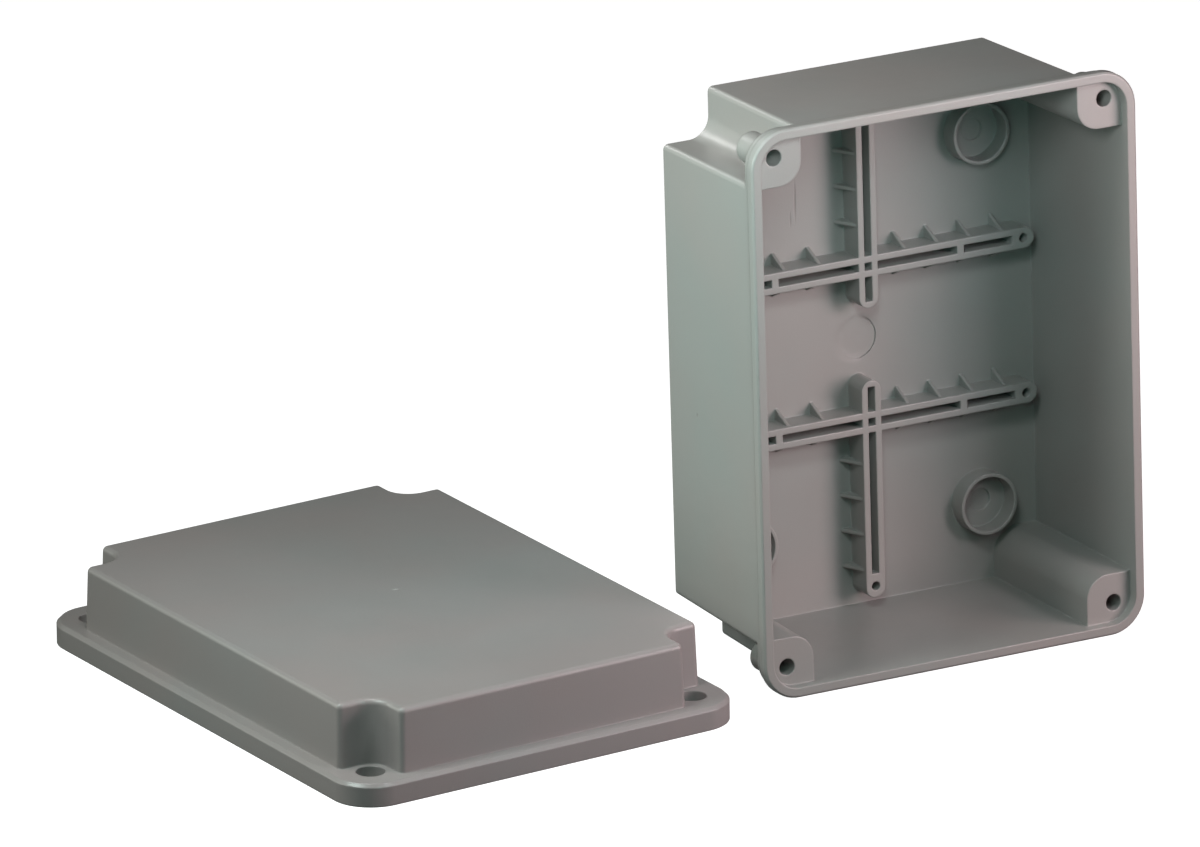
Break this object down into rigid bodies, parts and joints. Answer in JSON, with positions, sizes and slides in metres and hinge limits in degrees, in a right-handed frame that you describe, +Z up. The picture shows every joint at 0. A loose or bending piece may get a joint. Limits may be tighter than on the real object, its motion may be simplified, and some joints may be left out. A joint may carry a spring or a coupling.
{
  "type": "junction box housing",
  "caption": "Rectangular moulded junction box: open base with screwed corners, slotted rails and round fixing cups, standing beside its deep lid with scalloped corners.",
  "frame": {"origin": "on the floor, under the middle of the whole part's box", "axes": "+Z up; -Y the way the standing base's opening faces; -X towards the lid that lies beside it"},
  "size_m": [0.2606, 0.1696, 0.158],
  "materials": {
    "base_plastic": "fine satin, grey",
    "lid_plastic": "fine satin, grey",
    "seal_rubber": "matt, black"
  },
  "bodies": {
    "root": {"base_housing": "base_plastic", "lid": "lid_plastic", "lid_gasket": "seal_rubber"}
  },
  "joints": []
}
